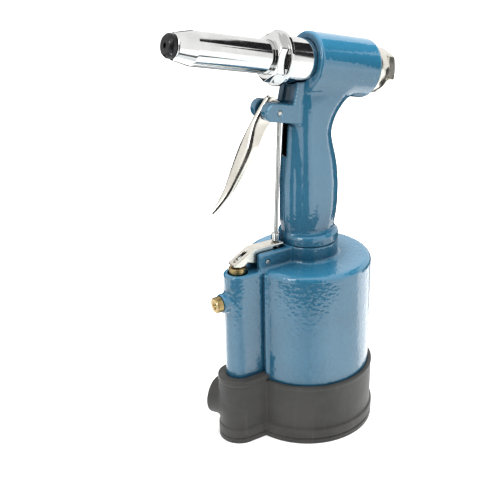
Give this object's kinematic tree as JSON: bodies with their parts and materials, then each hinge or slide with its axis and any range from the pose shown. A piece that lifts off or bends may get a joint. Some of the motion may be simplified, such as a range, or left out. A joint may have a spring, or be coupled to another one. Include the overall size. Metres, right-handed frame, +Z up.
{
  "type": "hand riveter",
  "caption": "Air-over-oil hand riveter: base air cylinder in a rubber boot, side valve column with rocker, pull rod and lever trigger, upright grip and tilted chrome pulling head.",
  "frame": {"origin": "centre of the air cylinder's axis on the underside of the rubber boot", "axes": "+Z up along the cylinder; -X towards the nose, the trigger and the valve column; +X towards the rear cap; the tool is symmetric about y = 0 except for the air inlet, which points to -X+Y; the pulling head's axis is tilted 12 degrees nose up in the plane y = 0"},
  "size_m": [0.1633, 0.0936, 0.2814],
  "materials": {
    "enamel": "glossy blue stoving enamel over a rough alloy casting",
    "boot_rubber": "satin moulded rubber",
    "seal_rubber": "oiled nitrile",
    "alloy": "turned",
    "chrome_plate": "polished chrome plate",
    "nickel_plate": "bright nickel plate on pressed steel",
    "black_oxide": "blackened steel",
    "brass": "turned brass",
    "steel": "ground and oiled"
  },
  "bodies": {
    "tool_body": {"cylinder_housing": "enamel", "handle_head": "enamel", "rubber_boot": "boot_rubber", "base_cap": "alloy", "base_cap_oring": "seal_rubber", "base_snap_ring": "steel", "handle_lock_nut": "steel", "ram_gland": "brass", "ram_seal": "seal_rubber", "front_adapter": "chrome_plate", "nose_sleeve": "chrome_plate", "sleeve_nut": "chrome_plate", "nosepiece": "black_oxide", "rear_cap": "nickel_plate", "rear_cap_oring": "seal_rubber", "return_spring": "steel", "trigger_pin": "steel", "rocker_pin": "steel", "valve_liner": "brass", "valve_spring": "steel", "valve_bottom_plug": "brass", "relief_plug": "brass", "inlet_bush": "steel", "piston_spring": "steel"},
    "trigger_body": {"trigger": "nickel_plate", "trigger_link_pin": "steel"},
    "rod_body": {"pull_rod": "steel", "rod_collar": "chrome_plate", "rod_nut": "steel"},
    "rocker_body": {"rocker_lever": "nickel_plate"},
    "valve_body": {"valve_button": "brass", "valve_seal": "seal_rubber"},
    "air_piston_body": {"air_piston": "alloy", "air_piston_seal": "seal_rubber", "ram": "steel", "ram_nut": "steel"},
    "pull_head_body": {"hydraulic_piston": "steel", "hydraulic_seal": "seal_rubber", "jaw_case": "steel"},
    "jaw_pusher_body": {"jaw_pusher": "steel", "jaw_spring": "steel"},
    "jaw_a_body": {"jaw_a": "steel"},
    "jaw_b_body": {"jaw_b": "steel"},
    "jaw_c_body": {"jaw_c": "steel"}
  },
  "joints": [
    {"name": "trigger_squeeze", "type": "hinge", "parent": "tool_body", "child": "trigger_body", "pos_m": [-0.0287, 0, 0.2269], "axis": [0, -1, 0], "range_deg": [0, 24]},
    {"name": "rod_lift", "type": "slide", "parent": "tool_body", "child": "rod_body", "axis": [0.0411, 0, 0.9992], "range_m": [0, 0.00248]},
    {"name": "rocker_tilt", "type": "hinge", "parent": "tool_body", "child": "rocker_body", "pos_m": [-0.0379, 0, 0.1289], "axis": [0, -1, 0], "range_deg": [0, 12.43]},
    {"name": "valve_press", "type": "slide", "parent": "tool_body", "child": "valve_body", "axis": [0, 0, -1], "range_m": [0, 0.00393], "deforming": ["valve_spring"]},
    {"name": "air_piston_stroke", "type": "slide", "parent": "tool_body", "child": "air_piston_body", "axis": [0, 0, 1], "range_m": [0, 0.05723], "deforming": ["piston_spring"]},
    {"name": "pull_stroke", "type": "slide", "parent": "tool_body", "child": "pull_head_body", "axis": [0.9781, 0, -0.2079], "range_m": [0, 0.01602]},
    {"name": "jaw_pusher_slide", "type": "slide", "parent": "pull_head_body", "child": "jaw_pusher_body", "axis": [-0.9781, 0, 0.2079], "range_m": [0, 0.00222]},
    {"name": "jaw_a_close", "type": "slide", "parent": "pull_head_body", "child": "jaw_a_body", "axis": [-0.9237, 0, 0.383], "range_m": [0, 0.00226]},
    {"name": "jaw_b_close", "type": "slide", "parent": "pull_head_body", "child": "jaw_b_body", "axis": [-0.9807, -0.1581, 0.1151], "range_m": [0, 0.00226]},
    {"name": "jaw_c_close", "type": "slide", "parent": "pull_head_body", "child": "jaw_c_body", "axis": [-0.9807, 0.1581, 0.1151], "range_m": [0, 0.00226]}
  ],
  "couplings": [
    {"joint": "rod_lift", "follows": "trigger_squeeze", "m_per_rad": 0.0059},
    {"joint": "rocker_tilt", "follows": "trigger_squeeze", "ratio": 0.51754},
    {"joint": "valve_press", "follows": "trigger_squeeze", "m_per_rad": 0.0093675},
    {"joint": "pull_stroke", "follows": "air_piston_stroke", "ratio": 0.27959},
    {"joint": "jaw_pusher_slide", "follows": "air_piston_stroke", "ratio": 0.038444},
    {"joint": "jaw_a_close", "follows": "air_piston_stroke", "ratio": 0.039101},
    {"joint": "jaw_b_close", "follows": "air_piston_stroke", "ratio": 0.039101},
    {"joint": "jaw_c_close", "follows": "air_piston_stroke", "ratio": 0.039101}
  ]
}
